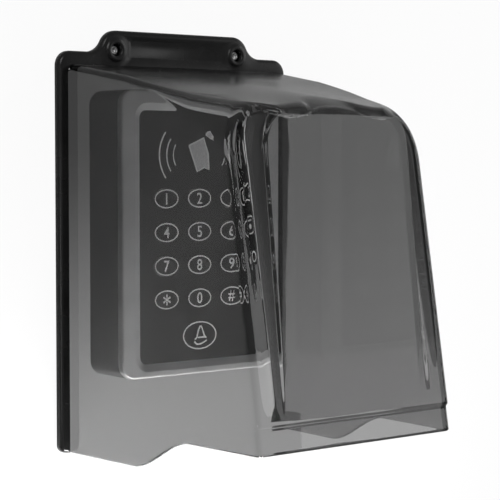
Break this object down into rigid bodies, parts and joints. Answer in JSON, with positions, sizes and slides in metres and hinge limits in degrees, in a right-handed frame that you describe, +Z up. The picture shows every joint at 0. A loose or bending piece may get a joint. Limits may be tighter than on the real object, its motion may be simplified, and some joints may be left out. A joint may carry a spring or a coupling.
{
  "type": "doorbell rain cover",
  "caption": "Smoked rain hood on a black wall frame, open below, over a backlit doorbell keypad with a bell button.",
  "frame": {"origin": "midway between the frame's two screw holes, on the wall face", "axes": "+X to the right seen from the front, +Y into the wall, +Z up"},
  "size_m": [0.1158, 0.115, 0.1681],
  "materials": {
    "black_frame": "glossy moulded black",
    "foam_seal": "closed-cell foam",
    "smoked_hood": "clear smoked plastic, polished",
    "steel_plate": "zinc-plated sheet",
    "keypad_shell": "fine textured dark grey",
    "silver_bezel": "satin",
    "face_black": "gloss black",
    "key_black": "gloss black with pale outline and digit",
    "clear_guide": "milky",
    "board_green": "solder mask",
    "switch_black": "moulded",
    "led_white": "moulded",
    "coil_copper": "enamelled wire",
    "relay_blue": "moulded",
    "terminal_green": "moulded",
    "screw_steel": "zinc plated",
    "rubber_black": "moulded"
  },
  "bodies": {
    "root": {"mounting_frame": "black_frame", "seal_strip": "foam_seal", "rain_hood": "smoked_hood", "keypad_bracket": "steel_plate", "rear_shell": "keypad_shell", "bezel": "silver_bezel", "face_panel": "face_black", "light_guide": "clear_guide", "circuit_board": "board_green", "tact_switches": "switch_black", "backlight_leds": "led_white", "antenna_coil": "coil_copper", "buzzer": "switch_black", "relay": "relay_blue", "controller_chip": "switch_black", "terminal_block": "terminal_green", "board_screws": "screw_steel", "case_screws": "screw_steel", "locking_screw": "screw_steel", "cable_grommet": "rubber_black"},
    "key_1": {"key_1": "key_black"},
    "key_2": {"key_2": "key_black"},
    "key_3": {"key_3": "key_black"},
    "key_4": {"key_4": "key_black"},
    "key_5": {"key_5": "key_black"},
    "key_6": {"key_6": "key_black"},
    "key_7": {"key_7": "key_black"},
    "key_8": {"key_8": "key_black"},
    "key_9": {"key_9": "key_black"},
    "key_star": {"key_star": "key_black"},
    "key_0": {"key_0": "key_black"},
    "key_hash": {"key_hash": "key_black"},
    "bell_key": {"bell_key": "key_black"}
  },
  "joints": [
    {"name": "key_1_press", "type": "slide", "parent": "root", "child": "key_1", "axis": [0, 1, 0], "range_m": [0, 0.0005], "stiffness_N_per_m": 1500, "springref_m": -0.0005},
    {"name": "key_2_press", "type": "slide", "parent": "root", "child": "key_2", "axis": [0, 1, 0], "range_m": [0, 0.0005], "stiffness_N_per_m": 1500, "springref_m": -0.0005},
    {"name": "key_3_press", "type": "slide", "parent": "root", "child": "key_3", "axis": [0, 1, 0], "range_m": [0, 0.0005], "stiffness_N_per_m": 1500, "springref_m": -0.0005},
    {"name": "key_4_press", "type": "slide", "parent": "root", "child": "key_4", "axis": [0, 1, 0], "range_m": [0, 0.0005], "stiffness_N_per_m": 1500, "springref_m": -0.0005},
    {"name": "key_5_press", "type": "slide", "parent": "root", "child": "key_5", "axis": [0, 1, 0], "range_m": [0, 0.0005], "stiffness_N_per_m": 1500, "springref_m": -0.0005},
    {"name": "key_6_press", "type": "slide", "parent": "root", "child": "key_6", "axis": [0, 1, 0], "range_m": [0, 0.0005], "stiffness_N_per_m": 1500, "springref_m": -0.0005},
    {"name": "key_7_press", "type": "slide", "parent": "root", "child": "key_7", "axis": [0, 1, 0], "range_m": [0, 0.0005], "stiffness_N_per_m": 1500, "springref_m": -0.0005},
    {"name": "key_8_press", "type": "slide", "parent": "root", "child": "key_8", "axis": [0, 1, 0], "range_m": [0, 0.0005], "stiffness_N_per_m": 1500, "springref_m": -0.0005},
    {"name": "key_9_press", "type": "slide", "parent": "root", "child": "key_9", "axis": [0, 1, 0], "range_m": [0, 0.0005], "stiffness_N_per_m": 1500, "springref_m": -0.0005},
    {"name": "key_star_press", "type": "slide", "parent": "root", "child": "key_star", "axis": [0, 1, 0], "range_m": [0, 0.0005], "stiffness_N_per_m": 1500, "springref_m": -0.0005},
    {"name": "key_0_press", "type": "slide", "parent": "root", "child": "key_0", "axis": [0, 1, 0], "range_m": [0, 0.0005], "stiffness_N_per_m": 1500, "springref_m": -0.0005},
    {"name": "key_hash_press", "type": "slide", "parent": "root", "child": "key_hash", "axis": [0, 1, 0], "range_m": [0, 0.0005], "stiffness_N_per_m": 1500, "springref_m": -0.0005},
    {"name": "bell_key_press", "type": "slide", "parent": "root", "child": "bell_key", "axis": [0, 1, 0], "range_m": [0, 0.0005], "stiffness_N_per_m": 1500, "springref_m": -0.0005}
  ]
}
